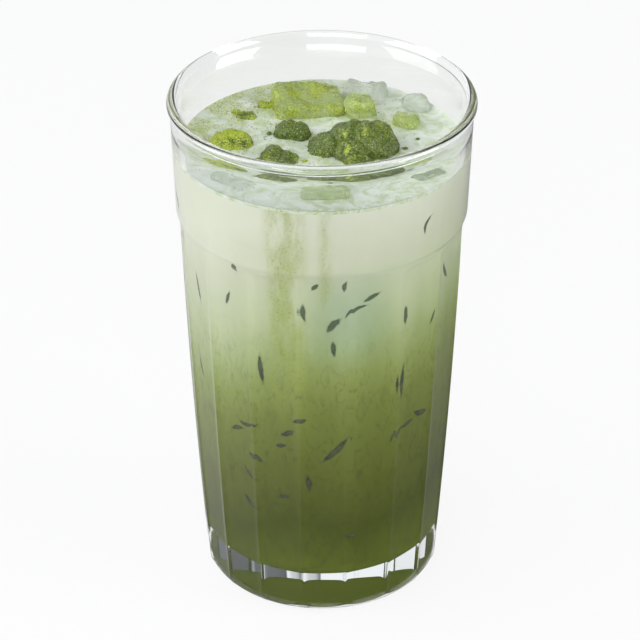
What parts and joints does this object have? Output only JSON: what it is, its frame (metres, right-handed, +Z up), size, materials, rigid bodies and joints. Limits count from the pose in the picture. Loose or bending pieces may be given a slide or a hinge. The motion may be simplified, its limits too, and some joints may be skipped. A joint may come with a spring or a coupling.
{
  "type": "iced matcha latte in a glass tumbler",
  "caption": "Iced matcha latte in a tall panelled glass tumbler: pale milk over deep green matcha, with floating ice and matcha lumps below the rim.",
  "frame": {"origin": "middle of the circle that the tumbler stands on", "axes": "+Z up along the tumbler's axis, +Y away from the front panel; one panel faces -Y, turned 1.4 degrees towards +X"},
  "size_m": [0.082, 0.082, 0.145],
  "materials": {
    "tumbler": "clear fire-polished soda-lime glass",
    "milk": "still milk with a little matcha stirred in, wet sheen",
    "matcha_drink": "strong matcha with milk, clouded, wet sheen",
    "ice": "melting ice, wet, dusted with green powder",
    "matcha_paste": "damp grainy matcha powder on ice"
  },
  "bodies": {
    "root": {"tumbler": "tumbler", "milk_layer": "milk", "matcha_layer": "matcha_drink", "ice_block_back": "ice", "ice_block_rear_right": "ice", "ice_block_dusted": "ice", "ice_tip": "ice", "ice_wedge": "ice", "ice_block_right": "ice", "ice_block_left": "ice", "ice_block_front": "ice", "matcha_lump_large": "matcha_paste", "matcha_lump_middle": "matcha_paste", "matcha_lump_left": "matcha_paste", "matcha_lump_front": "matcha_paste"}
  },
  "joints": []
}
